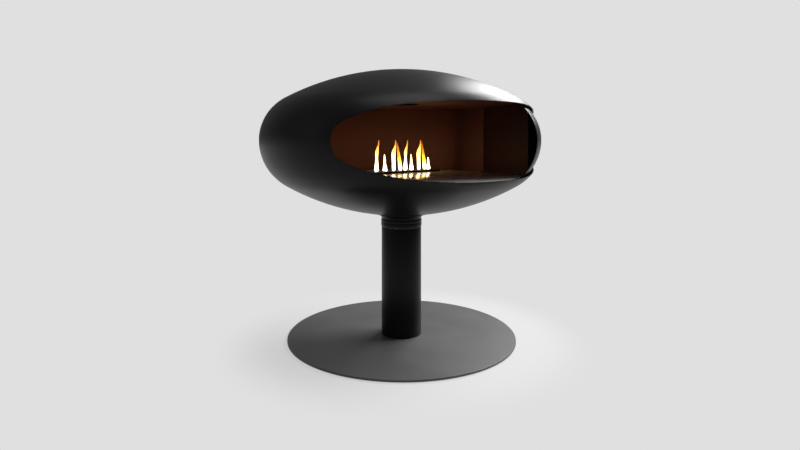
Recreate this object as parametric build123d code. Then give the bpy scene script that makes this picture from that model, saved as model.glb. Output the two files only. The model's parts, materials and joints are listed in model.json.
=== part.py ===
from build123d import *
from math import asin, atan2, cos, degrees, pi, radians, sin, sqrt
import os

# Freestanding ethanol fireplace: a dished steel pod with a wide side opening, on a round column and base.
# Millimetres, +Z up, origin on the floor under the column's axis.
# Azimuth is measured from the front (-Y) towards +X.

# Pod shell
POD_RADIUS = 460.0
EQUATOR_Z = 646.0
TOP_CROWN = 800.0
TOP_KNUCKLE = 152.0
BOTTOM_CROWN = 754.0
BOTTOM_KNUCKLE = 167.0
SHELL_WALL = 3.0

# Opening in the shell
OPENING_AZIMUTH = 40.5
OPENING_HALF_WIDTH = 415.0
OPENING_HALF_HEIGHT = 111.0
OPENING_DROP = 1.5
OPENING_POWER_ACROSS = 2.8
OPENING_POWER_UP = 2.6
OUTLINE_POINTS = 40

# Sliding screen inside the shell
SCREEN_GAP = 7.0
SCREEN_WALL = 2.0
SCREEN_HALF_HEIGHT = 118.0
SCREEN_LEAD_AZIMUTH = 63.0
SCREEN_SWEEP = 134.0
SCREEN_CLEARANCE = 4.0
GLIDE_WIDTH = 6.0
GLIDE_HEIGHT = 6.0
GLIDE_LENGTH = 30.0
GLIDE_CLEARANCE = 0.4
GLIDE_COUNT = 4
GLIDE_FIRST = 24.0
GLIDE_STEP = 30.0
TRACK_WALL = 3.0
TRACK_WIDTH = 16.0

# Firebox
HEARTH_SETBACK = 72.0
HEARTH_RADIUS = POD_RADIUS - HEARTH_SETBACK
HEARTH_WALL = 3.0
HEARTH_BELOW_LIP = 1.0
LINING_STEP = 12.0
LINING_RADIUS = HEARTH_RADIUS - LINING_STEP
LINING_WALL = 2.0
BACK_START = 125.0
BACK_END = 320.0
CHEEK_AZIMUTH = 70.0
CHEEK_REACH = 36.0
CHEEK_RADIUS = LINING_RADIUS + CHEEK_REACH
ROOF_WALL = 2.0
ROOF_ABOVE_LIP = 8.0
VENT_RADIUS = 60.0
POST_RADIUS = 9.0
POST_SETBACK = 58.0
POST_CIRCLE = HEARTH_RADIUS - POST_SETBACK
POST_COUNT = 4

# Burner
BURNER_SHIFT = 80.0
BURNER_SETBACK = 80.0
SLOT_LENGTH = 264.0
SLOT_WIDTH = 56.0
BURNER_DEPTH = 60.0
BURNER_WALL = 2.0
BURNER_MARGIN = 10.0
WOOL_DEPTH = 30.0
FRAME_HEIGHT = 2.0
FRAME_OUTSIDE = 1.0
FRAME_INSIDE = 2.0
LID_WALL = 2.0
LID_OVERLAP = 5.0
LID_CLEARANCE = 0.4
LID_TAB_HEIGHT = 12.0
LID_PARK_GAP = 4.0
RAIL_WIDTH = 10.0
RAIL_HEIGHT = 7.0
RAIL_LIP = 4.0

# Column and base
COLUMN_RADIUS = 65.5
COLUMN_WALL = 4.0
BASE_RADIUS = 372.0
BASE_THICKNESS = 6.0
BASE_EDGE = 1.0
FOOT_RING_THICKNESS = 14.0
FOOT_SCREW_CIRCLE = 42.0
FOOT_SCREW_COUNT = 6
FOOT_SCREW_RADIUS = 4.0
FOOT_SCREW_LENGTH = 16.0
PAD_RADIUS = 20.0
PAD_PROUD = 1.5
PAD_SUNK = 1.5
PAD_SETBACK = 52.0
PAD_CIRCLE = BASE_RADIUS - PAD_SETBACK
PAD_COUNT = 8

# Swivel
SEAT_GAP = 14.0
COLLAR_RADIUS = 67.0
COLLAR_HEIGHT = 25.0
GROOVE_DEPTH = 1.5
GROOVE_HEIGHT = 2.0
WASHER_THICKNESS = 2.0
WASHER_INSET = 1.0
SPINDLE_RADIUS = 30.0
SPINDLE_BORE = 22.0
SPINDLE_LENGTH = 180.0
SPINDLE_CAP_EDGE = 6.0
SPINDLE_CAP_THICKNESS = 5.0
BUSH_WALL = 4.0
BUSH_RUNNING = 0.06
BUSH_LENGTH = 36.0
BUSH_SPACING = 100.0
NUT_RADIUS = 42.0
NUT_THICKNESS = 10.0
NUT_GAP = 1.0
FLARE_RADIUS = 84.0
FLARE_STEP = 2.0
FLARE_BRIM = 1.0
FLARE_RISE = 12.0
PLATE_RADIUS = 100.0
PLATE_THICKNESS = 12.0
POD_BOLT_CIRCLE = 48.0
POD_BOLT_COUNT = 6
POD_BOLT_RADIUS = 4.0
POD_BOLT_HEAD = 7.0
POD_BOLT_HEAD_HEIGHT = 5.0
POD_BOLT_FLOOR = 4.0
FIT = 0.3


def dish_depth(crown, knuckle):
    return crown - sqrt((crown - knuckle) ** 2 - (POD_RADIUS - knuckle) ** 2)


BOTTOM_DROP = dish_depth(BOTTOM_CROWN, BOTTOM_KNUCKLE)
POD_BOTTOM_Z = EQUATOR_Z - BOTTOM_DROP
LIP_BOTTOM_Z = EQUATOR_Z - OPENING_DROP - OPENING_HALF_HEIGHT
LIP_TOP_Z = EQUATOR_Z - OPENING_DROP + OPENING_HALF_HEIGHT
HEARTH_TOP_Z = LIP_BOTTOM_Z - HEARTH_BELOW_LIP
ROOF_Z = LIP_TOP_Z + ROOF_ABOVE_LIP
COLLAR_TOP_Z = POD_BOTTOM_Z - SEAT_GAP
COLLAR_BOTTOM_Z = COLLAR_TOP_Z - COLLAR_HEIGHT
COLUMN_TOP_Z = COLLAR_BOTTOM_Z - WASHER_THICKNESS
BASE_BOTTOM_Z = PAD_PROUD
BASE_TOP_Z = BASE_BOTTOM_Z + BASE_THICKNESS


def around(radius, azimuth, z=0.0):
    return Vector(radius * sin(radians(azimuth)), -radius * cos(radians(azimuth)), z)


def dome(crown, knuckle, inset, up):
    """Half of a dished body, from the equator to the pole, shrunk inwards by inset."""
    depth = dish_depth(crown, knuckle)
    tilt = asin((POD_RADIUS - knuckle) / (crown - knuckle))
    small, large = knuckle - inset, crown - inset
    centre = depth - crown
    join = ((POD_RADIUS - knuckle) + small * sin(tilt), small * cos(tilt))
    bend = (pi / 2 + tilt) / 2
    middle = ((POD_RADIUS - knuckle) + small * sin(bend), small * cos(bend))
    crest = (large * sin(tilt / 2), centre + large * cos(tilt / 2))
    pole = (0.0, depth - inset)
    rim = (POD_RADIUS - inset, 0.0)

    def place(point):
        return (point[0], 0.0, EQUATOR_Z + up * point[1])

    edges = [
        ThreePointArc(place(rim), place(middle), place(join)),
        ThreePointArc(place(join), place(crest), place(pole)),
        Line(place(pole), place((0.0, 0.0))),
        Line(place((0.0, 0.0)), place(rim)),
    ]
    return revolve(make_face(edges), Axis.Z)


def top_dome(inset):
    return dome(TOP_CROWN, TOP_KNUCKLE, inset, 1)


def bottom_dome(inset):
    return dome(BOTTOM_CROWN, BOTTOM_KNUCKLE, inset, -1)


def pod_body(inset):
    return top_dome(inset) + bottom_dome(inset)


def ring(outer, inner, low, high):
    tube = Cylinder(outer, high - low, align=(Align.CENTER, Align.CENTER, Align.MIN))
    bore = Cylinder(inner, high - low, align=(Align.CENTER, Align.CENTER, Align.MIN))
    return Pos(0, 0, low) * (tube - bore)


def disc(radius, low, high):
    return Pos(0, 0, low) * Cylinder(radius, high - low, align=(Align.CENTER, Align.CENTER, Align.MIN))


def rod(radius, x, y, low, high):
    return Pos(x, y, low) * Cylinder(radius, high - low, align=(Align.CENTER, Align.CENTER, Align.MIN))


def on_circle(radius, count, first=0.0):
    return [around(radius, first + 360.0 * n / count) for n in range(count)]


def power_curve(half_width, half_height, power_across, power_up):
    """Points of a squared ellipse, evenly stepped round it."""
    points = []
    for n in range(OUTLINE_POINTS):
        turn = 2 * pi * n / OUTLINE_POINTS
        c, s = cos(turn), sin(turn)
        across = half_width * abs(c) ** (2 / power_across) * (1 if c > 0 else -1)
        upward = half_height * abs(s) ** (2 / power_up) * (1 if s > 0 else -1)
        points.append((across, upward))
    return points


def facing(azimuth, z):
    """Plane through the axis whose normal points outwards at this azimuth, x to the right, y up."""
    return Plane(origin=(0, 0, z), x_dir=around(1, azimuth + 90), z_dir=around(1, azimuth))


def opening_cutter():
    outline = power_curve(OPENING_HALF_WIDTH, OPENING_HALF_HEIGHT, OPENING_POWER_ACROSS, OPENING_POWER_UP)
    plane = facing(OPENING_AZIMUTH, EQUATOR_Z - OPENING_DROP)
    face = make_face(Spline([plane.from_local_coords(p) for p in outline], periodic=True))
    return extrude(face, amount=POD_RADIUS * 1.2, dir=around(1, OPENING_AZIMUTH))


def sector(start, sweep, radius, low, high):
    """A wedge of a disc from azimuth start through sweep degrees."""
    wedge = Pos(0, 0, low) * Cylinder(
        radius, high - low, arc_size=sweep, align=(Align.NONE, Align.NONE, Align.MIN)
    )
    return Rot(0, 0, start - 90) * wedge


def burner_point(along, inwards, z=0.0):
    """A point given along the opening's chord and inwards from the axis plane."""
    side = around(along, OPENING_AZIMUTH + 90)
    back = around(-inwards, OPENING_AZIMUTH)
    return Vector(side.X + back.X, side.Y + back.Y, z)


def burner_box(length, width, low, high, along=BURNER_SHIFT, inwards=BURNER_SETBACK):
    spot = burner_point(along, inwards, low)
    block = Box(length, width, high - low, align=(Align.CENTER, Align.CENTER, Align.MIN))
    return Pos(spot.X, spot.Y, low) * Rot(0, 0, OPENING_AZIMUTH) * block


def make_shells():
    cutter = opening_cutter()
    upper = top_dome(0) - top_dome(SHELL_WALL) - cutter
    lower = bottom_dome(0) - bottom_dome(SHELL_WALL) - cutter
    for spot in on_circle(POD_BOLT_CIRCLE, POD_BOLT_COUNT):
        lower -= rod(POD_BOLT_RADIUS + FIT, spot.X, spot.Y, POD_BOTTOM_Z - 5, POD_BOTTOM_Z + SHELL_WALL + PLATE_THICKNESS)
    lower -= disc(SPINDLE_RADIUS + FIT, POD_BOTTOM_Z - 5, POD_BOTTOM_Z + 10)
    return upper, lower


def screen_sheet():
    """The curved sheet that turns inside the shell, with straight upright ends."""
    inset = SHELL_WALL + SCREEN_GAP
    skin = pod_body(inset) - pod_body(inset + SCREEN_WALL)
    low, high = EQUATOR_Z - SCREEN_HALF_HEIGHT, EQUATOR_Z + SCREEN_HALF_HEIGHT
    return skin & sector(SCREEN_LEAD_AZIMUTH, SCREEN_SWEEP, POD_RADIUS, low, high)


def make_glides(z_sign):
    """Low-friction blocks under or over the sheet's edge, in a row along it."""
    inset = SHELL_WALL + SCREEN_GAP
    edge = z_sign * SCREEN_HALF_HEIGHT
    radius = surface_radius(edge, inset + SCREEN_WALL / 2)
    blocks = []
    for n in range(GLIDE_COUNT):
        azimuth = SCREEN_LEAD_AZIMUTH + GLIDE_FIRST + n * GLIDE_STEP
        spot = around(radius, azimuth)
        z = EQUATOR_Z + edge + z_sign * GLIDE_HEIGHT / 2
        blocks.append(Pos(spot.X, spot.Y, z) * Rot(0, 0, azimuth) * Box(GLIDE_LENGTH, GLIDE_WIDTH, GLIDE_HEIGHT))
    return Compound(blocks)


def surface_radius(height, inset):
    """Radius of the dished body, shrunk by inset, at a height above the equator."""
    crown, knuckle = (TOP_CROWN, TOP_KNUCKLE) if height >= 0 else (BOTTOM_CROWN, BOTTOM_KNUCKLE)
    small = knuckle - inset
    tilt = asin((POD_RADIUS - knuckle) / (crown - knuckle))
    rise = abs(height)
    if rise <= small * cos(tilt):
        return (POD_RADIUS - knuckle) + sqrt(small ** 2 - rise ** 2)
    large = crown - inset
    return sqrt(large ** 2 - (rise + crown - dish_depth(crown, knuckle)) ** 2)


def make_track(z_sign):
    """A flat ring that the glides run against, cut to the inside of the shell."""
    face = z_sign * (SCREEN_HALF_HEIGHT + GLIDE_HEIGHT + GLIDE_CLEARANCE)
    far = face + z_sign * TRACK_WALL
    low, high = EQUATOR_Z + min(face, far), EQUATOR_Z + max(face, far)
    inner = surface_radius(face, SHELL_WALL + SCREEN_GAP) - TRACK_WIDTH
    inside = top_dome(SHELL_WALL) if z_sign > 0 else bottom_dome(SHELL_WALL)
    return ring(POD_RADIUS, inner, low, high) & inside


def make_hearth():
    low = HEARTH_TOP_Z - HEARTH_WALL
    plate = disc(HEARTH_RADIUS, low, HEARTH_TOP_Z)
    plate -= burner_box(SLOT_LENGTH, SLOT_WIDTH, low - 1, HEARTH_TOP_Z + 1)
    return plate


def make_posts():
    """Posts from the bowl of the shell up to the hearth plate, outside the burner."""
    inside = bottom_dome(SHELL_WALL)
    posts = []
    for spot in on_circle(POST_CIRCLE, POST_COUNT, OPENING_AZIMUTH + 45):
        post = rod(POST_RADIUS, spot.X, spot.Y, POD_BOTTOM_Z, HEARTH_TOP_Z - HEARTH_WALL)
        posts.append((post & inside).solids()[0])
    return Compound(posts)


def make_back_wall():
    wall = ring(LINING_RADIUS, LINING_RADIUS - LINING_WALL, HEARTH_TOP_Z, ROOF_Z)
    return wall & sector(BACK_START, BACK_END - BACK_START, POD_RADIUS, HEARTH_TOP_Z, ROOF_Z)


def make_cheek():
    """The flat right-hand wall, from the end of the back wall to just inside the screen."""
    start = around(LINING_RADIUS - LINING_WALL, BACK_START - 0.5)
    end = around(CHEEK_RADIUS, CHEEK_AZIMUTH)
    run = end - start
    height = ROOF_Z - HEARTH_TOP_Z
    sheet = Box(run.length, LINING_WALL, height, align=(Align.MIN, Align.MIN, Align.MIN))
    sheet = Pos(start.X, start.Y, HEARTH_TOP_Z) * Rot(0, 0, degrees(atan2(run.Y, run.X))) * sheet
    return sheet & pod_body(SHELL_WALL + SCREEN_GAP + SCREEN_WALL + SCREEN_CLEARANCE)


def make_roof():
    return ring(LINING_RADIUS, VENT_RADIUS, ROOF_Z, ROOF_Z + ROOF_WALL)


def make_burner():
    low = HEARTH_TOP_Z - HEARTH_WALL - BURNER_DEPTH
    high = HEARTH_TOP_Z - HEARTH_WALL
    outer = burner_box(SLOT_LENGTH + 2 * BURNER_MARGIN, SLOT_WIDTH + 2 * BURNER_MARGIN, low, high)
    tray = outer - burner_box(SLOT_LENGTH, SLOT_WIDTH, low + BURNER_WALL, high + 1)
    wool = burner_box(
        SLOT_LENGTH - 2 * FIT, SLOT_WIDTH - 2 * FIT, low + BURNER_WALL, low + BURNER_WALL + WOOL_DEPTH
    )
    return tray, wool


def make_slot_frame():
    """The thin raised frame round the slot, low enough for the lid to pass over."""
    outside, inside = 2 * FRAME_OUTSIDE, -2 * FRAME_INSIDE
    top = HEARTH_TOP_Z + FRAME_HEIGHT
    rim = burner_box(SLOT_LENGTH + outside, SLOT_WIDTH + outside, HEARTH_TOP_Z, top)
    return rim - burner_box(SLOT_LENGTH + inside, SLOT_WIDTH + inside, HEARTH_TOP_Z - 1, top + 1)


LID_LENGTH = SLOT_LENGTH + 2 * LID_OVERLAP
LID_WIDTH = SLOT_WIDTH + 2 * LID_OVERLAP
LID_LOW_Z = HEARTH_TOP_Z + FRAME_HEIGHT + LID_CLEARANCE
LID_TRAVEL = LID_LENGTH + LID_PARK_GAP


def make_lid():
    along = BURNER_SHIFT - LID_TRAVEL
    plate = burner_box(LID_LENGTH, LID_WIDTH, LID_LOW_Z, LID_LOW_Z + LID_WALL, along)
    tab_spot = along - LID_LENGTH / 2 + LID_WALL / 2
    tab = burner_box(LID_WALL, LID_WIDTH / 2, LID_LOW_Z, LID_LOW_Z + LID_TAB_HEIGHT, tab_spot)
    return plate + tab


def make_rails():
    """Two channel rails that hold the lid down, along its whole travel."""
    length = LID_LENGTH + LID_TRAVEL
    along = BURNER_SHIFT - LID_TRAVEL / 2
    rails = []
    for side in (1, -1):
        offset = side * (LID_WIDTH / 2 + LID_CLEARANCE + RAIL_WIDTH / 2)
        rail = burner_box(
            length, RAIL_WIDTH, HEARTH_TOP_Z, HEARTH_TOP_Z + RAIL_HEIGHT, along, BURNER_SETBACK + offset
        )
        lip_offset = side * (LID_WIDTH / 2 + LID_CLEARANCE - RAIL_LIP / 2)
        lip_low = LID_LOW_Z + LID_WALL + LID_CLEARANCE
        lip = burner_box(
            length, RAIL_LIP, lip_low, HEARTH_TOP_Z + RAIL_HEIGHT, along, BURNER_SETBACK + lip_offset
        )
        rails.append((rail + lip).solids()[0])
    return Compound(rails)


def make_neck():
    """Weld-on flare between the pod and the swivel collar, hollow round the spindle."""
    low, high = COLLAR_TOP_Z, POD_BOTTOM_Z + FLARE_RISE
    side = COLLAR_RADIUS - FLARE_STEP
    brim = POD_BOTTOM_Z + FLARE_BRIM
    waist = (FLARE_RADIUS - (FLARE_RADIUS - side) * cos(pi / 4), 0, low + (brim - low) * sin(pi / 4))
    edges = [
        Line((SPINDLE_RADIUS + FIT, 0, low), (side, 0, low)),
        ThreePointArc((side, 0, low), waist, (FLARE_RADIUS, 0, brim)),
        Line((FLARE_RADIUS, 0, brim), (FLARE_RADIUS, 0, high)),
        Line((FLARE_RADIUS, 0, high), (SPINDLE_RADIUS + FIT, 0, high)),
        Line((SPINDLE_RADIUS + FIT, 0, high), (SPINDLE_RADIUS + FIT, 0, low)),
    ]
    flare = revolve(make_face(edges), Axis.Z) - bottom_dome(0)
    for spot in on_circle(POD_BOLT_CIRCLE, POD_BOLT_COUNT):
        flare -= rod(POD_BOLT_RADIUS, spot.X, spot.Y, low, high)
    return flare


def make_collar():
    collar = ring(COLLAR_RADIUS, SPINDLE_RADIUS + FIT, COLLAR_BOTTOM_Z, COLLAR_TOP_Z)
    for z in (COLLAR_BOTTOM_Z, (COLLAR_BOTTOM_Z + COLLAR_TOP_Z) / 2, COLLAR_TOP_Z - GROOVE_HEIGHT):
        collar -= ring(COLLAR_RADIUS + 1, COLLAR_RADIUS - GROOVE_DEPTH, z, z + GROOVE_HEIGHT)
    for spot in on_circle(POD_BOLT_CIRCLE, POD_BOLT_COUNT):
        collar -= rod(POD_BOLT_RADIUS, spot.X, spot.Y, COLLAR_BOTTOM_Z, COLLAR_TOP_Z)
    return collar


def make_mount_plate():
    """Disc inside the bowl that the pod bolts pull down on."""
    top = POD_BOTTOM_Z + SHELL_WALL + PLATE_THICKNESS
    plate = disc(PLATE_RADIUS, POD_BOTTOM_Z, top) & bottom_dome(SHELL_WALL)
    plate -= disc(SPINDLE_RADIUS + FIT, POD_BOTTOM_Z, top)
    for spot in on_circle(POD_BOLT_CIRCLE, POD_BOLT_COUNT):
        plate -= rod(POD_BOLT_RADIUS, spot.X, spot.Y, POD_BOTTOM_Z, top)
    return plate


def make_pod_bolts():
    top = POD_BOTTOM_Z + SHELL_WALL + PLATE_THICKNESS
    bolts = []
    for spot in on_circle(POD_BOLT_CIRCLE, POD_BOLT_COUNT):
        shank = rod(POD_BOLT_RADIUS, spot.X, spot.Y, COLLAR_BOTTOM_Z + POD_BOLT_FLOOR, top)
        head = extrude(RegularPolygon(POD_BOLT_HEAD, 6), amount=POD_BOLT_HEAD_HEIGHT)
        bolts.append((shank + Pos(spot.X, spot.Y, top) * head).solids()[0])
    return Compound(bolts)


def make_spindle():
    top = POD_BOTTOM_Z + SHELL_WALL + PLATE_THICKNESS
    low = COLLAR_BOTTOM_Z - SPINDLE_LENGTH
    cap = ring(SPINDLE_RADIUS + SPINDLE_CAP_EDGE, SPINDLE_BORE, top, top + SPINDLE_CAP_THICKNESS)
    return ring(SPINDLE_RADIUS, SPINDLE_BORE, low, top) + cap


BUSH_TOPS = (COLUMN_TOP_Z, COLUMN_TOP_Z - BUSH_SPACING)
NUT_TOP_Z = BUSH_TOPS[1] - BUSH_LENGTH - NUT_GAP


def make_bushes():
    bore = SPINDLE_RADIUS + BUSH_RUNNING
    return Compound([ring(bore + BUSH_WALL, bore, top - BUSH_LENGTH, top) for top in BUSH_TOPS])


def make_bearing_block(top):
    bore = SPINDLE_RADIUS + BUSH_RUNNING + BUSH_WALL
    return ring(COLUMN_RADIUS - COLUMN_WALL, bore, top - BUSH_LENGTH, top)


def make_base():
    plate = disc(BASE_RADIUS, BASE_BOTTOM_Z, BASE_TOP_Z)
    plate = chamfer(plate.edges().group_by(Axis.Z)[-1], BASE_EDGE)
    for spot in pad_spots():
        plate -= rod(PAD_RADIUS, spot.X, spot.Y, BASE_BOTTOM_Z, BASE_BOTTOM_Z + PAD_SUNK)
    for spot in on_circle(FOOT_SCREW_CIRCLE, FOOT_SCREW_COUNT):
        plate -= rod(FOOT_SCREW_RADIUS, spot.X, spot.Y, BASE_BOTTOM_Z, BASE_TOP_Z)
        plate -= Pos(spot.X, spot.Y, BASE_BOTTOM_Z) * screw_cone()
    return plate


def screw_cone():
    return Cone(
        2 * FOOT_SCREW_RADIUS, FOOT_SCREW_RADIUS, FOOT_SCREW_RADIUS, align=(Align.CENTER, Align.CENTER, Align.MIN)
    )


def make_foot_screws():
    screws = []
    for spot in on_circle(FOOT_SCREW_CIRCLE, FOOT_SCREW_COUNT):
        shank = rod(FOOT_SCREW_RADIUS, spot.X, spot.Y, BASE_BOTTOM_Z, BASE_BOTTOM_Z + FOOT_SCREW_LENGTH)
        screws.append((shank + Pos(spot.X, spot.Y, BASE_BOTTOM_Z) * screw_cone()).solids()[0])
    return Compound(screws)


def make_foot_ring():
    foot = disc(COLUMN_RADIUS - COLUMN_WALL, BASE_TOP_Z, BASE_TOP_Z + FOOT_RING_THICKNESS)
    for spot in on_circle(FOOT_SCREW_CIRCLE, FOOT_SCREW_COUNT):
        foot -= rod(FOOT_SCREW_RADIUS, spot.X, spot.Y, BASE_TOP_Z, BASE_BOTTOM_Z + FOOT_SCREW_LENGTH)
    return foot


def pad_spots():
    """The pads stand in a circle near the rim, with one more under the column."""
    return on_circle(PAD_CIRCLE, PAD_COUNT) + [Vector(0, 0, 0)]


def make_pads():
    return Compound([rod(PAD_RADIUS, s.X, s.Y, 0, PAD_PROUD + PAD_SUNK) for s in pad_spots()])


upper_shell, lower_shell = make_shells()
burner_tray, ceramic_wool = make_burner()
parts = {
    "base_plate": make_base(),
    "base_pads": make_pads(),
    "foot_ring": make_foot_ring(),
    "foot_screws": make_foot_screws(),
    "column_tube": ring(COLUMN_RADIUS, COLUMN_RADIUS - COLUMN_WALL, BASE_TOP_Z, COLUMN_TOP_Z),
    "upper_bearing_block": make_bearing_block(BUSH_TOPS[0]),
    "lower_bearing_block": make_bearing_block(BUSH_TOPS[1]),
    "swivel_bushes": make_bushes(),
    "thrust_washer": ring(COLUMN_RADIUS - WASHER_INSET, SPINDLE_RADIUS + FIT, COLUMN_TOP_Z, COLLAR_BOTTOM_Z),
    "swivel_spindle": make_spindle(),
    "spindle_nut": ring(NUT_RADIUS, SPINDLE_RADIUS, NUT_TOP_Z - NUT_THICKNESS, NUT_TOP_Z),
    "swivel_collar": make_collar(),
    "neck_flare": make_neck(),
    "mount_plate": make_mount_plate(),
    "pod_bolts": make_pod_bolts(),
    "lower_shell": lower_shell,
    "upper_shell": upper_shell,
    "lower_track": make_track(-1),
    "upper_track": make_track(1),
    "hearth_posts": make_posts(),
    "hearth_plate": make_hearth(),
    "back_wall": make_back_wall(),
    "side_wall": make_cheek(),
    "firebox_roof": make_roof(),
    "burner_tray": burner_tray,
    "ceramic_wool": ceramic_wool,
    "burner_frame": make_slot_frame(),
    "lid_rails": make_rails(),
    "burner_lid": make_lid(),
    "sliding_screen": screen_sheet(),
    "lower_glides": make_glides(-1),
    "upper_glides": make_glides(1),
}
os.makedirs("parts", exist_ok=True)
for name, shape in parts.items():
    export_step(shape, f"parts/{name}.step")
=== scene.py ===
import bpy
import json
from math import pi, radians
from mathutils import Matrix, Vector

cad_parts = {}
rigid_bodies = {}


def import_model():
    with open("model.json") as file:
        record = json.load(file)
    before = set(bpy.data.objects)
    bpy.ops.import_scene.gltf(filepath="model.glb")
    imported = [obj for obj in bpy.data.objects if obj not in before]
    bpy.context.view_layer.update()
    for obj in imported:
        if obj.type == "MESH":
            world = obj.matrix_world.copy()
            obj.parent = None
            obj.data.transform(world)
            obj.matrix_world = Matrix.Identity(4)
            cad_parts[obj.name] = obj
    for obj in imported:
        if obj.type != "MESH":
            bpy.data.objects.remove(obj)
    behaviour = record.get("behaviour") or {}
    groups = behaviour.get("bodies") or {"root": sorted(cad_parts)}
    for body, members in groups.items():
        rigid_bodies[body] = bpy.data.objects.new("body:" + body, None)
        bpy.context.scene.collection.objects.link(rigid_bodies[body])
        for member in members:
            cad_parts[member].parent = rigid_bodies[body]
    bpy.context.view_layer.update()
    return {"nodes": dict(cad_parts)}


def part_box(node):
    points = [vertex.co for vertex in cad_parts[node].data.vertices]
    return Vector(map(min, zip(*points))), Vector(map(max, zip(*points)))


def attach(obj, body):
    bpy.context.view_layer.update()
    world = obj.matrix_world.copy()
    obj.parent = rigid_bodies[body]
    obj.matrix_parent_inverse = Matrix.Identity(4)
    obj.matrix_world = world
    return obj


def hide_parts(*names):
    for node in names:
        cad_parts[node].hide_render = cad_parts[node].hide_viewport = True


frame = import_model()
for obj in bpy.data.objects:
    obj.select_set(False)

# Camera and studio. The fire stands on a pale seamless floor, lit by a broad soft lamp high on the
# right, one behind the right shoulder, a weak one on the left, and one overhead.
PICTURE_WIDTH = 800.0
PICTURE_HEIGHT = 450.0
SENSOR_WIDTH = 36.0
FOCAL_PIXELS = 567.9
EYE = Vector((-0.01835, -1.88484, 0.65637))
VANISHING_X, VANISHING_Y = 395.86, 136.72
PALE_GREY = (0.745, 0.745, 0.745, 1.0)
ROOM_LIGHT = 0.16
FLOOR_FADE_START, FLOOR_FADE_END = 0.38, 0.62
FLOOR_GLOW_LEAST = 0.68
FLOOR_RADIUS = 14
FLOOR_SIDES = 96
FLOOR_DROP = 0.0005
FLOOR_PAPER = (0.8, 0.8, 0.8, 1)

camera_data = bpy.data.cameras.new("camera")
camera_data.sensor_width = SENSOR_WIDTH
camera_data.lens = FOCAL_PIXELS / PICTURE_WIDTH * SENSOR_WIDTH
camera_data.shift_x = (PICTURE_WIDTH / 2 - VANISHING_X) / PICTURE_WIDTH
camera_data.shift_y = (VANISHING_Y - PICTURE_HEIGHT / 2) / PICTURE_WIDTH
camera = bpy.data.objects.new("camera", camera_data)
camera.location = EYE
camera.rotation_euler = (pi / 2, 0, 0)
bpy.context.scene.collection.objects.link(camera)
bpy.context.scene.camera = camera
bpy.context.scene.view_settings.view_transform = "Standard"


def softbox(name, place, aim, size, power):
    lamp = bpy.data.lights.new(name, "AREA")
    lamp.shape = "RECTANGLE"
    lamp.size, lamp.size_y = size
    lamp.energy = power
    holder = bpy.data.objects.new(name, lamp)
    holder.location = place
    holder.rotation_euler = (Vector(aim) - Vector(place)).to_track_quat("-Z", "Y").to_euler()
    bpy.context.scene.collection.objects.link(holder)


softbox("right_softbox", place=(2.6, 1.0, 2.3), aim=(0.2, 0, 0.6), size=(1.8, 1.4), power=110)
softbox("rim_softbox", place=(1.9, 2.5, 2.7), aim=(0.2, 0, 0.7), size=(1.9, 1.4), power=105)
softbox("left_softbox", place=(-3.0, -1.2, 1.6), aim=(0, 0, 0.6), size=(1.0, 1.8), power=3)
softbox("top_softbox", place=(0.3, -0.4, 3.4), aim=(0, 0, 0.3), size=(2.0, 2.0), power=34)

# The camera sees a pale backdrop, and everything else gets the weaker light of the room.
world = bpy.data.worlds.new("studio")
world.use_nodes = True
bpy.context.scene.world = world
sky, sky_links = world.node_tree.nodes, world.node_tree.links
sky.clear()
path = sky.new("ShaderNodeLightPath")
strength = sky.new("ShaderNodeMapRange")
strength.inputs["To Min"].default_value = ROOM_LIGHT / PALE_GREY[0]
strength.inputs["To Max"].default_value = 1.0
backdrop = sky.new("ShaderNodeBackground")
backdrop.inputs["Color"].default_value = PALE_GREY
sky_out = sky.new("ShaderNodeOutputWorld")
sky_links.new(path.outputs["Is Camera Ray"], strength.inputs["Value"])
sky_links.new(strength.outputs["Result"], backdrop.inputs["Strength"])
sky_links.new(backdrop.outputs["Background"], sky_out.inputs["Surface"])

bpy.ops.mesh.primitive_circle_add(
    vertices=FLOOR_SIDES, radius=FLOOR_RADIUS, fill_type="NGON", location=(0, 0, -FLOOR_DROP)
)
floor = bpy.context.active_object
floor.name = "studio_floor"
floor_paint = bpy.data.materials.new("studio_floor")
floor_paint.use_nodes = True
nodes, links = floor_paint.node_tree.nodes, floor_paint.node_tree.links
nodes.clear()
spot = nodes.new("ShaderNodeTexCoord")
reach = nodes.new("ShaderNodeVectorMath")
reach.operation = "LENGTH"
fade = nodes.new("ShaderNodeMapRange")
fade.interpolation_type = "SMOOTHSTEP"
fade.inputs["From Min"].default_value = FLOOR_FADE_START
fade.inputs["From Max"].default_value = FLOOR_FADE_END
fade.inputs["To Min"].default_value = FLOOR_GLOW_LEAST
paper = nodes.new("ShaderNodeBsdfDiffuse")
paper.inputs["Color"].default_value = FLOOR_PAPER
far_paper = nodes.new("ShaderNodeEmission")
far_paper.inputs["Color"].default_value = PALE_GREY
# The far floor glows only to the camera, in reflections and through glass.
sight = nodes.new("ShaderNodeLightPath")
seen = nodes.new("ShaderNodeMath")
seen.operation = "MAXIMUM"
seen_through = nodes.new("ShaderNodeMath")
seen_through.operation = "MAXIMUM"
mix = nodes.new("ShaderNodeMixShader")
out = nodes.new("ShaderNodeOutputMaterial")
links.new(spot.outputs["Object"], reach.inputs[0])
links.new(reach.outputs["Value"], fade.inputs["Value"])
links.new(fade.outputs["Result"], mix.inputs["Fac"])
links.new(sight.outputs["Is Camera Ray"], seen.inputs[0])
links.new(sight.outputs["Is Glossy Ray"], seen.inputs[1])
links.new(seen.outputs["Value"], seen_through.inputs[0])
links.new(sight.outputs["Is Transmission Ray"], seen_through.inputs[1])
links.new(seen_through.outputs["Value"], far_paper.inputs["Strength"])
links.new(paper.outputs["BSDF"], mix.inputs[1])
links.new(far_paper.outputs["Emission"], mix.inputs[2])
links.new(mix.outputs["Shader"], out.inputs["Surface"])
floor.data.materials.append(floor_paint)
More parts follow.
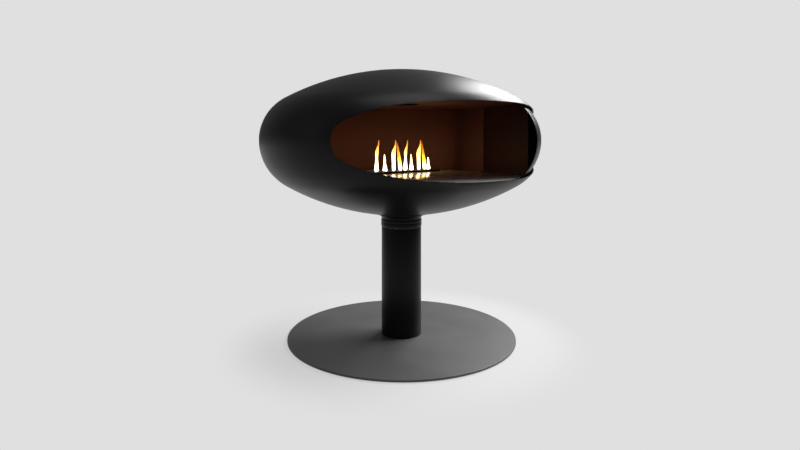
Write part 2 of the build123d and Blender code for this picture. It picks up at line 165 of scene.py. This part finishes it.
floor.select_set(False)

# Pod shell. Two spun steel domes, welded at the widest line and ground smooth, with one opening
# cut through both. The whole is sprayed with satin black heat-resistant paint.
BEVEL_WIDTH = 0.0006
SMALL_BEVEL = 0.0004
FINE_BEVEL = 0.0003
BEVEL_STEPS = 2
SHARP_EDGE = radians(50)
SMOOTH_ANGLE = radians(32)
BLACK_PAINT = (0.0080, 0.0080, 0.0085, 1)
BLACK_PAINT_LIGHTER = (0.012, 0.012, 0.0128, 1)
EQUATOR = 0.646
SEAM_TOLERANCE = 0.00002
MERGE_DISTANCE = 0.00001
CLOUD_DETAIL = 6
GRAIN_DETAIL = 2
GRAIN_DEPTH = 0.0004


def paint_grain_group():
    """Orange peel and faint clouding of a sprayed coat: a tint mask, a roughness and a height."""
    group = bpy.data.node_groups.new("paint_grain", "ShaderNodeTree")
    face = group.interface
    face.new_socket("Cloud Scale", in_out="INPUT", socket_type="NodeSocketFloat").default_value = 6
    face.new_socket("Grain Scale", in_out="INPUT", socket_type="NodeSocketFloat").default_value = 900
    face.new_socket("Roughness Low", in_out="INPUT", socket_type="NodeSocketFloat").default_value = 0.4
    face.new_socket("Roughness High", in_out="INPUT", socket_type="NodeSocketFloat").default_value = 0.5
    face.new_socket("Cloud", in_out="OUTPUT", socket_type="NodeSocketFloat")
    face.new_socket("Roughness", in_out="OUTPUT", socket_type="NodeSocketFloat")
    face.new_socket("Height", in_out="OUTPUT", socket_type="NodeSocketFloat")
    n, k = group.nodes, group.links
    entry, leave = n.new("NodeGroupInput"), n.new("NodeGroupOutput")
    place = n.new("ShaderNodeTexCoord")
    cloud, grain = n.new("ShaderNodeTexNoise"), n.new("ShaderNodeTexNoise")
    cloud.inputs["Detail"].default_value = CLOUD_DETAIL
    grain.inputs["Detail"].default_value = GRAIN_DETAIL
    shift = n.new("ShaderNodeMapRange")
    k.new(place.outputs["Object"], cloud.inputs["Vector"])
    k.new(place.outputs["Object"], grain.inputs["Vector"])
    k.new(entry.outputs["Cloud Scale"], cloud.inputs["Scale"])
    k.new(entry.outputs["Grain Scale"], grain.inputs["Scale"])
    k.new(cloud.outputs["Fac"], shift.inputs["Value"])
    k.new(entry.outputs["Roughness Low"], shift.inputs["To Min"])
    k.new(entry.outputs["Roughness High"], shift.inputs["To Max"])
    k.new(cloud.outputs["Fac"], leave.inputs["Cloud"])
    k.new(shift.outputs["Result"], leave.inputs["Roughness"])
    k.new(grain.outputs["Fac"], leave.inputs["Height"])
    return group


PAINT_GRAIN = paint_grain_group()


def coated(name, dark, light, rough, cloud_scale=6, grain_scale=900, bump=0.05, specular=0.35, metallic=0.0):
    """A sprayed or brushed finish: two close colours, clouded roughness and a fine surface grain."""
    material = bpy.data.materials.new(name)
    material.use_nodes = True
    n, k = material.node_tree.nodes, material.node_tree.links
    shader = n["Principled BSDF"]
    shader.inputs["Specular IOR Level"].default_value = specular
    shader.inputs["Metallic"].default_value = metallic
    grain = n.new("ShaderNodeGroup")
    grain.node_tree = PAINT_GRAIN
    grain.inputs["Cloud Scale"].default_value = cloud_scale
    grain.inputs["Grain Scale"].default_value = grain_scale
    grain.inputs["Roughness Low"].default_value = rough[0]
    grain.inputs["Roughness High"].default_value = rough[1]
    tint = n.new("ShaderNodeMix")
    tint.data_type = "RGBA"
    tint.inputs["A"].default_value = dark
    tint.inputs["B"].default_value = light
    relief = n.new("ShaderNodeBump")
    relief.inputs["Strength"].default_value = bump
    relief.inputs["Distance"].default_value = GRAIN_DEPTH
    k.new(grain.outputs["Cloud"], tint.inputs["Factor"])
    k.new(tint.outputs["Result"], shader.inputs["Base Color"])
    k.new(grain.outputs["Roughness"], shader.inputs["Roughness"])
    k.new(grain.outputs["Height"], relief.inputs["Height"])
    k.new(relief.outputs["Normal"], shader.inputs["Normal"])
    return material


SATIN_BLACK = coated("satin_black_paint", BLACK_PAINT, BLACK_PAINT_LIGHTER, (0.33, 0.40), specular=0.13)


def take(obj):
    """Only this object selected and active."""
    for other in bpy.context.selected_objects:
        other.select_set(False)
    obj.select_set(True)
    bpy.context.view_layer.objects.active = obj


def open_seam(piece):
    """Take out the faces where the two half shells meet, so that they read as one welded body."""
    points = piece.data.vertices
    for face in piece.data.polygons:
        face.select = all(abs(points[corner].co.z - EQUATOR) < SEAM_TOLERANCE for corner in face.vertices)
    bpy.ops.object.mode_set(mode="EDIT")
    bpy.ops.mesh.delete(type="FACE")
    bpy.ops.object.mode_set(mode="OBJECT")


def finished_sheet(nodes, body, material, bevel=BEVEL_WIDTH, welded=False):
    """The form of one or more nodes, with facets joined, cut edges broken and curves shaded smooth."""
    nodes = (nodes,) if isinstance(nodes, str) else nodes
    copies = []
    for node in nodes:
        copy = bpy.data.objects.new(node + "_finish", frame["nodes"][node].data.copy())
        bpy.context.scene.collection.objects.link(copy)
        copy.data.materials.clear()
        copies.append(copy)
    piece = copies[0]
    take(piece)
    if len(copies) > 1:
        for copy in copies[1:]:
            copy.select_set(True)
        bpy.ops.object.join()
    piece.data.materials.append(material)
    if piece.data.has_custom_normals:
        bpy.ops.mesh.customdata_custom_splitnormals_clear()
    bpy.context.tool_settings.mesh_select_mode = (False, False, True)
    bpy.ops.object.mode_set(mode="EDIT")
    bpy.ops.mesh.select_all(action="SELECT")
    bpy.ops.mesh.remove_doubles(threshold=MERGE_DISTANCE)
    bpy.ops.mesh.faces_shade_smooth()
    bpy.ops.object.mode_set(mode="OBJECT")
    if welded:
        open_seam(piece)
    if bevel:
        soften = piece.modifiers.new("broken_edge", "BEVEL")
        soften.width = bevel
        soften.segments = BEVEL_STEPS
        soften.limit_method = "ANGLE"
        soften.angle_limit = SHARP_EDGE
        bpy.ops.object.modifier_apply(modifier=soften.name)
    bpy.ops.object.shade_smooth_by_angle(angle=SMOOTH_ANGLE)
    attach(piece, body)
    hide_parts(*nodes)
    piece.select_set(False)
    return piece


finished_sheet(("upper_shell", "lower_shell"), "pod", SATIN_BLACK, welded=True)

# Sliding screen. A rolled sheet on low-friction glides that turns inside the shell to close the
# opening. It is painted like the shell, and its upright ends are cut square.
finished_sheet("sliding_screen", "screen", SATIN_BLACK)
GLIDE_PLASTIC = coated(
    "glide_plastic", (0.3, 0.29, 0.27, 1), (0.34, 0.33, 0.3, 1), (0.5, 0.6),
    cloud_scale=30, grain_scale=1500,
)
for glides in ("lower_glides", "upper_glides"):
    finished_sheet(glides, "screen", GLIDE_PLASTIC)

# Firebox lining. Dark brown heat-resistant paint on rolled steel sheet, with a flat sheet roof. The
# back wall meets the flat right-hand wall in a plain vertical corner. That wall has the same paint,
# but its colour is darkened as painted shade, since it stands away from the flames.
LINING_PAINT = coated(
    "lining_paint", (0.14, 0.050, 0.033, 1), (0.19, 0.068, 0.045, 1), (0.55, 0.7),
    cloud_scale=4, grain_scale=700, bump=0.08, specular=0.3,
)
# Painted shade: the lining's brown, darkened and made less glossy for the right-hand wall, which the flames
# light less.
SHADED_SIDE_PAINT = coated(
    "shaded_side_wall_paint", (0.045, 0.017, 0.011, 1), (0.060, 0.022, 0.014, 1), (0.55, 0.7),
    cloud_scale=4, grain_scale=700, bump=0.08, specular=0.15,
)
for sheet in ("back_wall", "firebox_roof"):
    finished_sheet(sheet, "pod", LINING_PAINT)
finished_sheet("side_wall", "pod", SHADED_SIDE_PAINT)

# Hearth plate, burner and lid. Brushed stainless sheet, polished enough to mirror the flames; the
# burner tray hangs under a slot in the plate and is closed by a lid that slides between two rails.
STAINLESS = coated(
    "polished_stainless", (0.56, 0.52, 0.49, 1), (0.64, 0.60, 0.56, 1), (0.16, 0.26),
    cloud_scale=14, grain_scale=500, bump=0.04, specular=0.5, metallic=0.35,
)
RAIL_PAINT = coated("rail_paint", (0.02, 0.018, 0.017, 1), (0.03, 0.027, 0.025, 1), (0.4, 0.5))
for sheet in ("hearth_plate", "burner_tray", "burner_frame"):
    finished_sheet(sheet, "pod", STAINLESS, FINE_BEVEL)
finished_sheet("lid_rails", "pod", RAIL_PAINT, SMALL_BEVEL)
finished_sheet("burner_lid", "lid", STAINLESS, FINE_BEVEL)
WOOL = coated(
    "ceramic_wool", (0.5, 0.49, 0.47, 1), (0.7, 0.69, 0.66, 1), (0.9, 1.0),
    cloud_scale=60, grain_scale=700, bump=0.8, specular=0.1,
)
finished_sheet("ceramic_wool", "pod", WOOL, 0)

# Tracks, posts, spindle and bearings. Machined and folded steel inside the pod, the column and its
# foot, left bare, with plastic bushes and a plastic washer where the pod turns on the column.
BARE_STEEL = coated(
    "bare_steel", (0.30, 0.30, 0.30, 1), (0.38, 0.38, 0.38, 1), (0.35, 0.5),
    cloud_scale=20, grain_scale=600, bump=0.05, specular=0.5, metallic=1.0,
)
POD_STEEL = (
    "lower_track", "upper_track", "hearth_posts", "mount_plate", "pod_bolts",
    "swivel_spindle", "spindle_nut",
)
for piece in POD_STEEL:
    finished_sheet(piece, "pod", BARE_STEEL)
for piece in ("foot_ring", "foot_screws", "upper_bearing_block", "lower_bearing_block"):
    finished_sheet(piece, "stand", BARE_STEEL, FINE_BEVEL)
for piece in ("swivel_bushes", "thrust_washer"):
    finished_sheet(piece, "stand", GLIDE_PLASTIC, 0)

# Neck and swivel collar. A turned flare is welded under the pod, and a grooved collar below it runs
# on a thin washer on top of the column. Both are painted with the pod.
for turned in ("neck_flare", "swivel_collar"):
    finished_sheet(turned, "pod", SATIN_BLACK, SMALL_BEVEL)

# Column and base. A steel tube, painted like the pod, on a flat laser-cut disc in a greyer, slightly
# mottled black. Rubber pads lift the disc just off the floor.
finished_sheet("column_tube", "stand", SATIN_BLACK)
BASE_BLACK = coated(
    "base_black_paint", (0.085, 0.085, 0.087, 1), (0.125, 0.125, 0.127, 1), (0.38, 0.52),
    cloud_scale=9, grain_scale=500, bump=0.12, specular=0.5,
)
finished_sheet("base_plate", "stand", BASE_BLACK, 0)
PAD_RUBBER = coated(
    "pad_rubber", (0.02, 0.02, 0.02, 1), (0.03, 0.03, 0.03, 1), (0.8, 0.9),
    cloud_scale=20, grain_scale=800, bump=0.1, specular=0.2,
)
finished_sheet("base_pads", "stand", PAD_RUBBER, FINE_BEVEL)

# Flames. Nine tongues of burning ethanol stand in a row over the slot, tall, medium and low. Each is
# a closed form, wide at the foot, drawn out and bent at the tip, and bright in itself.
FLAME_ROW = (
    (-0.122, "tongue", 0.109),
    (-0.085, "bud", 0.060),
    (-0.045, "sheet", 0.109),
    (-0.019, "blade", 0.100),
    (0.008, "tongue", 0.108),
    (0.037, "bud", 0.058),
    (0.073, "sheet", 0.109),
    (0.098, "blade", 0.101),
    (0.1205, "bud", 0.045),
)
# For each form: share of the height, half width along the row, and sideways bend, in metres.
FLAME_FORMS = {
    "tongue": ((0, 0.0105, 0), (0.12, 0.0090, 0), (0.3, 0.0060, 0.001), (0.45, 0.0048, 0.001),
               (0.62, 0.0078, 0.001), (0.74, 0.0036, 0.005), (0.85, 0.0028, 0.010), (1, 0.0006, 0.010)),
    "sheet": ((0, 0.0080, 0), (0.12, 0.0082, 0), (0.3, 0.0070, -0.001), (0.45, 0.0082, -0.002),
              (0.62, 0.0098, -0.001), (0.74, 0.0048, 0.005), (0.85, 0.0034, 0.009), (1, 0.0006, 0.008)),
    "blade": ((0, 0.0095, 0.004), (0.12, 0.0090, 0.003), (0.3, 0.0082, 0.001), (0.45, 0.0075, -0.002),
              (0.62, 0.0062, -0.005), (0.74, 0.0046, -0.007), (0.85, 0.0032, -0.008), (1, 0.0006, -0.011)),
    "bud": ((0, 0.0115, 0), (0.12, 0.0100, 0), (0.3, 0.0070, 0), (0.45, 0.0048, -0.001),
            (0.62, 0.0042, -0.001), (0.74, 0.0038, -0.001), (0.85, 0.0030, -0.002), (1, 0.0006, -0.002)),
}
FLAME_SIDES = 16
FLAME_RINGS = 8
RING_REACH = 0.01
ROUNDING_LEVELS = 2
FLAME_DEPTH = 0.55
FLAME_WIDTH = 0.84
slot_low, slot_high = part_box("burner_frame")
slot_centre = (slot_low + slot_high) / 2
# The row stands along the chord of the opening, as the slot does.
ROW_TURN = radians(40.5)
# The lid slides through this space over the slot's frame, so the flames start above it.
LID_SPACE = 0.003
FLAME_FOOT = slot_high.z + LID_SPACE
FLAME_TALLEST = 0.109


def flame(name, along, form, height):
    """A short tube of rings, each widened and pushed aside, closed at the foot and the tip."""
    bpy.ops.mesh.primitive_cylinder_add(
        vertices=FLAME_SIDES, radius=1.0, depth=1.0, end_fill_type="NGON", location=(0, 0, 0.5)
    )
    piece = bpy.context.active_object
    piece.name = name
    bpy.ops.object.transform_apply(location=True, rotation=True, scale=True)
    bpy.ops.object.mode_set(mode="EDIT")
    for ring_number in range(1, FLAME_RINGS - 1):
        bpy.ops.mesh.select_all(action="SELECT")
        level = FLAME_FORMS[form][ring_number][0]
        bpy.ops.mesh.bisect(plane_co=(0, 0, level), plane_no=(0, 0, 1))
    bpy.ops.object.mode_set(mode="OBJECT")
    for level, half_width, bend in FLAME_FORMS[form]:
        for vertex in piece.data.vertices:
            if abs(vertex.co.z - level) < RING_REACH:
                vertex.co.x = vertex.co.x * half_width * FLAME_WIDTH + bend
                vertex.co.y = vertex.co.y * half_width * FLAME_DEPTH
    piece.data.transform(Matrix.Scale(height, 4, (0, 0, 1)))
    piece.data.transform(Matrix.Translation((along, 0, 0)))
    piece.data.transform(Matrix.Rotation(ROW_TURN, 4, "Z"))
    piece.data.transform(Matrix.Translation((slot_centre.x, slot_centre.y, FLAME_FOOT)))
    smooth = piece.modifiers.new("rounded", "SUBSURF")
    smooth.levels = ROUNDING_LEVELS
    smooth.render_levels = ROUNDING_LEVELS
    bpy.ops.object.modifier_apply(modifier=smooth.name)
    bpy.ops.object.mode_set(mode="EDIT")
    bpy.ops.mesh.select_all(action="SELECT")
    bpy.ops.mesh.normals_make_consistent(inside=False)
    bpy.ops.mesh.faces_shade_smooth()
    bpy.ops.object.mode_set(mode="OBJECT")
    return piece


# Colour stops from the foot of a flame to its tip. Most are white hot in the body, the blades amber.
WHITE_HOT = ((0.15, (0.085, 0.055, 0.13)), (0.27, (0.80, 0.66, 0.50)), (0.58, (0.72, 0.46, 0.12)),
             (0.85, (0.40, 0.16, 0.02)), (1.0, (0.16, 0.045, 0.008)))
AMBER = ((0.15, (0.085, 0.055, 0.13)), (0.27, (0.60, 0.45, 0.30)), (0.48, (0.36, 0.21, 0.012)),
         (0.70, (0.16, 0.055, 0.004)), (1.0, (0.07, 0.014, 0.001)))
GLOW_STRENGTH = 10.0
LICK_SCALE = 90
LICK_SHARE = 0.35


def flame_glow(name, stops):
    """Violet at the foot, white or amber in the body and orange at the tip."""
    material = bpy.data.materials.new(name)
    material.use_nodes = True
    n, k = material.node_tree.nodes, material.node_tree.links
    shader = n["Principled BSDF"]
    shader.inputs["Base Color"].default_value = (0, 0, 0, 1)
    shader.inputs["Specular IOR Level"].default_value = 0
    shader.inputs["Emission Strength"].default_value = GLOW_STRENGTH
    place, parts = n.new("ShaderNodeTexCoord"), n.new("ShaderNodeSeparateXYZ")
    rise = n.new("ShaderNodeMapRange")
    rise.inputs["From Min"].default_value = FLAME_FOOT
    rise.inputs["From Max"].default_value = FLAME_FOOT + FLAME_TALLEST
    lick = n.new("ShaderNodeTexNoise")
    lick.inputs["Scale"].default_value = LICK_SCALE
    wobble = n.new("ShaderNodeMath")
    wobble.operation = "MULTIPLY_ADD"
    wobble.inputs[1].default_value = LICK_SHARE
    ramp = n.new("ShaderNodeValToRGB")
    ramp.color_ramp.elements.remove(ramp.color_ramp.elements[1])
    for number, (place_on_ramp, colour) in enumerate(stops):
        stop = ramp.color_ramp.elements[0] if number == 0 else ramp.color_ramp.elements.new(place_on_ramp)
        stop.position = place_on_ramp
        stop.color = (*colour, 1)
    k.new(place.outputs["Object"], parts.inputs["Vector"])
    k.new(parts.outputs["Z"], rise.inputs["Value"])
    k.new(place.outputs["Object"], lick.inputs["Vector"])
    k.new(lick.outputs["Fac"], wobble.inputs[0])
    k.new(rise.outputs["Result"], wobble.inputs[2])
    k.new(wobble.outputs["Value"], ramp.inputs["Fac"])
    k.new(ramp.outputs["Color"], shader.inputs["Emission Color"])
    return material


FLAME_GLOWS = {"blade": flame_glow("amber_flame", AMBER)}
for form in ("tongue", "sheet", "bud"):
    FLAME_GLOWS[form] = flame_glow(form + "_flame", WHITE_HOT)
for number, (along, form, height) in enumerate(FLAME_ROW):
    tongue = flame(f"flame_{number + 1}", along, form, height)
    tongue.data.materials.append(FLAME_GLOWS[form])
    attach(tongue, "pod")
    tongue.select_set(False)
